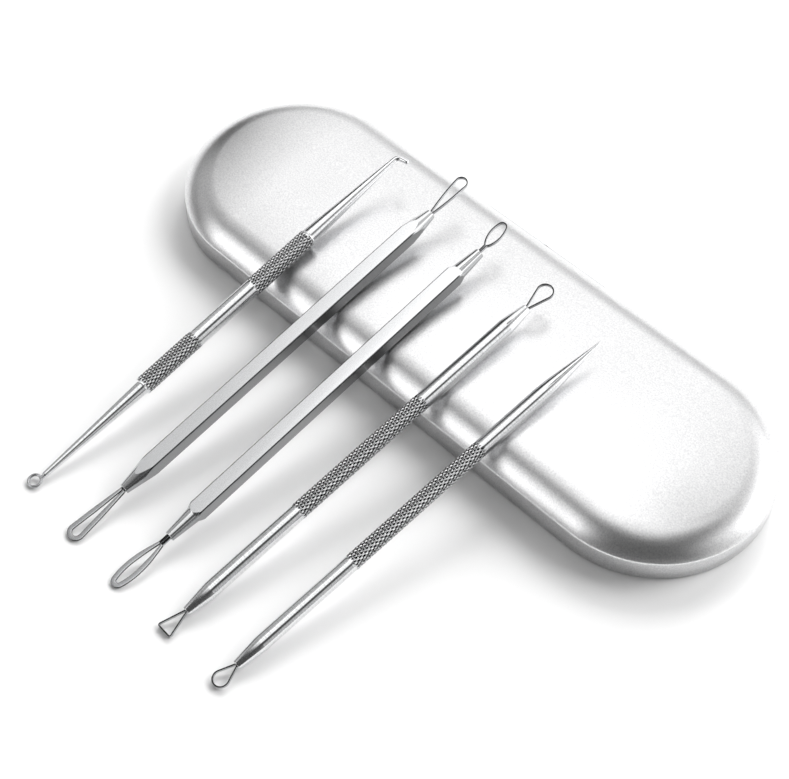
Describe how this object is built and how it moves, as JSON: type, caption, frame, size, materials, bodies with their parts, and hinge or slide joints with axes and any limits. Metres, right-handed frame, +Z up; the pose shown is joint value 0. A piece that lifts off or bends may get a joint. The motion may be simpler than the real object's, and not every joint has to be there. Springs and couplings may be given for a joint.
{
  "type": "blackhead extractor set",
  "caption": "Slim double-ended skin extractors with wire loops, a ring, a triangle, a hook and a needle, leaning on their closed oblong tin case with a hinged lid.",
  "frame": {"origin": "on the floor under the middle of the closed case", "axes": "+X along the case's long axis, +Y towards the hinge side, away from the leaning extractors, +Z up"},
  "size_m": [0.1592, 0.1257, 0.0197],
  "materials": {
    "satin_case": "fine-grained satin silver",
    "hinge_metal": "satin",
    "handle_steel": "polished, with fine lengthwise streaks",
    "wire_steel": "polished"
  },
  "bodies": {
    "base": {"case_base": "satin_case", "base_hinge_leaf": "hinge_metal", "hinge_pin": "hinge_metal"},
    "lid": {"case_lid": "satin_case", "lid_hinge_leaf": "hinge_metal"},
    "ring_extractor": {"ring_handle": "handle_steel", "ring_eye": "wire_steel"},
    "long_loop_extractor": {"long_loop_handle": "handle_steel", "long_loop_lower": "wire_steel", "long_loop_upper": "wire_steel"},
    "oval_loop_extractor": {"oval_loop_handle": "handle_steel", "oval_loop_lower": "wire_steel", "oval_loop_upper": "wire_steel"},
    "triangle_extractor": {"triangle_handle": "handle_steel", "triangle_lower": "wire_steel", "triangle_upper_loop": "wire_steel"},
    "needle_extractor": {"needle_handle": "handle_steel", "needle_lower_loop": "wire_steel"}
  },
  "joints": [
    {"name": "lid_hinge", "type": "hinge", "parent": "base", "child": "lid", "pos_m": [0, 0.0275, 0.0015], "axis": [-1, 0, 0], "range_deg": [0, 110]},
    {"name": "ring_extractor_lift", "type": "slide", "parent": "lid", "child": "ring_extractor", "axis": [0, 0, 1], "range_m": [0, 0.06]},
    {"name": "long_loop_extractor_lift", "type": "slide", "parent": "lid", "child": "long_loop_extractor", "axis": [0, 0, 1], "range_m": [0, 0.06]},
    {"name": "oval_loop_extractor_lift", "type": "slide", "parent": "lid", "child": "oval_loop_extractor", "axis": [0, 0, 1], "range_m": [0, 0.06]},
    {"name": "triangle_extractor_lift", "type": "slide", "parent": "lid", "child": "triangle_extractor", "axis": [0, 0, 1], "range_m": [0, 0.06]},
    {"name": "needle_extractor_lift", "type": "slide", "parent": "lid", "child": "needle_extractor", "axis": [0, 0, 1], "range_m": [0, 0.06]}
  ]
}
